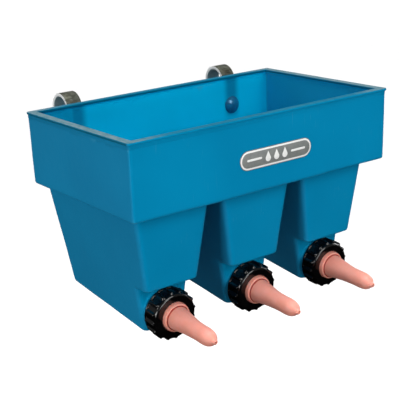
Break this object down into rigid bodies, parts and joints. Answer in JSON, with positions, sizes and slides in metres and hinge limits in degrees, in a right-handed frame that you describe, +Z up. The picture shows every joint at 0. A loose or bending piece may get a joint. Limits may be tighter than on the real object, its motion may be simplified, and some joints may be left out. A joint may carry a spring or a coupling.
{
  "type": "hanging compartment teat feeder",
  "caption": "Hanging trough for feeding calves or lambs milk: separate tapering compartments under one open band, each with a valved rubber teat, and steel hooks over a gate rail.",
  "frame": {"origin": "on the crown line of the gate rail that the hooks hang on: midway between the two hooks, at the underside of their arches", "axes": "+X along the trough's length, to the right seen from the teats; +Y out of the rear face, towards the rail; +Z up. The teats point to -Y and 4.2 degrees down."},
  "size_m": [0.453, 0.3806, 0.3192],
  "materials": {
    "trough_plastic": "satin rotationally moulded polyethylene, bright blue",
    "badge": "printed label, grey with a white border",
    "valve_plastic": "moulded polypropylene, dark grey",
    "nut_plastic": "moulded nylon, glossy black",
    "gasket_rubber": "matt black rubber",
    "ball_plastic": "smooth off-white plastic",
    "teat_rubber": "soft satin rubber, salmon pink",
    "galvanised_steel": "galvanised flat bar, slightly dulled",
    "zinc_steel": "bright zinc plate"
  },
  "bodies": {
    "trough": {"trough_body": "trough_plastic", "front_badge": "badge", "valve_body_left": "valve_plastic", "inner_gasket_left": "gasket_rubber", "ball_retainer_left": "valve_plastic", "teat_seat_left": "nut_plastic", "valve_body_middle": "valve_plastic", "inner_gasket_middle": "gasket_rubber", "ball_retainer_middle": "valve_plastic", "teat_seat_middle": "nut_plastic", "valve_body_right": "valve_plastic", "inner_gasket_right": "gasket_rubber", "ball_retainer_right": "valve_plastic", "teat_seat_right": "nut_plastic", "hook_left": "galvanised_steel", "hook_bolt_left": "zinc_steel", "hook_washer_left": "zinc_steel", "hook_nut_left": "zinc_steel", "hook_right": "galvanised_steel", "hook_bolt_right": "zinc_steel", "hook_washer_right": "zinc_steel", "hook_nut_right": "zinc_steel"},
    "teat_left": {"teat_left": "teat_rubber"},
    "nut_left": {"ring_nut_left": "nut_plastic"},
    "ball_left": {"valve_ball_left": "ball_plastic"},
    "teat_middle": {"teat_middle": "teat_rubber"},
    "nut_middle": {"ring_nut_middle": "nut_plastic"},
    "ball_middle": {"valve_ball_middle": "ball_plastic"},
    "teat_right": {"teat_right": "teat_rubber"},
    "nut_right": {"ring_nut_right": "nut_plastic"},
    "ball_right": {"valve_ball_right": "ball_plastic"}
  },
  "joints": [
    {"name": "teat_slide_left", "type": "slide", "parent": "trough", "child": "teat_left", "axis": [0, -0.9973, -0.0732], "range_m": [0, 0.016]},
    {"name": "nut_turn_left", "type": "hinge", "parent": "teat_left", "child": "nut_left", "pos_m": [-0.145, -0.23419, -0.2755], "axis": [0, -0.9973, -0.0732], "range_deg": [0, 1440]},
    {"name": "ball_lift_left", "type": "slide", "parent": "trough", "child": "ball_left", "axis": [0, -0.9973, -0.0732], "range_m": [0, 0.005]},
    {"name": "teat_slide_middle", "type": "slide", "parent": "trough", "child": "teat_middle", "axis": [0, -0.9973, -0.0732], "range_m": [0, 0.016]},
    {"name": "nut_turn_middle", "type": "hinge", "parent": "teat_middle", "child": "nut_middle", "pos_m": [0, -0.23419, -0.2755], "axis": [0, -0.9973, -0.0732], "range_deg": [0, 1440]},
    {"name": "ball_lift_middle", "type": "slide", "parent": "trough", "child": "ball_middle", "axis": [0, -0.9973, -0.0732], "range_m": [0, 0.005]},
    {"name": "teat_slide_right", "type": "slide", "parent": "trough", "child": "teat_right", "axis": [0, -0.9973, -0.0732], "range_m": [0, 0.016]},
    {"name": "nut_turn_right", "type": "hinge", "parent": "teat_right", "child": "nut_right", "pos_m": [0.145, -0.23419, -0.2755], "axis": [0, -0.9973, -0.0732], "range_deg": [0, 1440]},
    {"name": "ball_lift_right", "type": "slide", "parent": "trough", "child": "ball_right", "axis": [0, -0.9973, -0.0732], "range_m": [0, 0.005]}
  ],
  "couplings": [
    {"joint": "teat_slide_left", "follows": "nut_turn_left", "m_per_rad": 0.00063662},
    {"joint": "teat_slide_middle", "follows": "nut_turn_middle", "m_per_rad": 0.00063662},
    {"joint": "teat_slide_right", "follows": "nut_turn_right", "m_per_rad": 0.00063662}
  ]
}
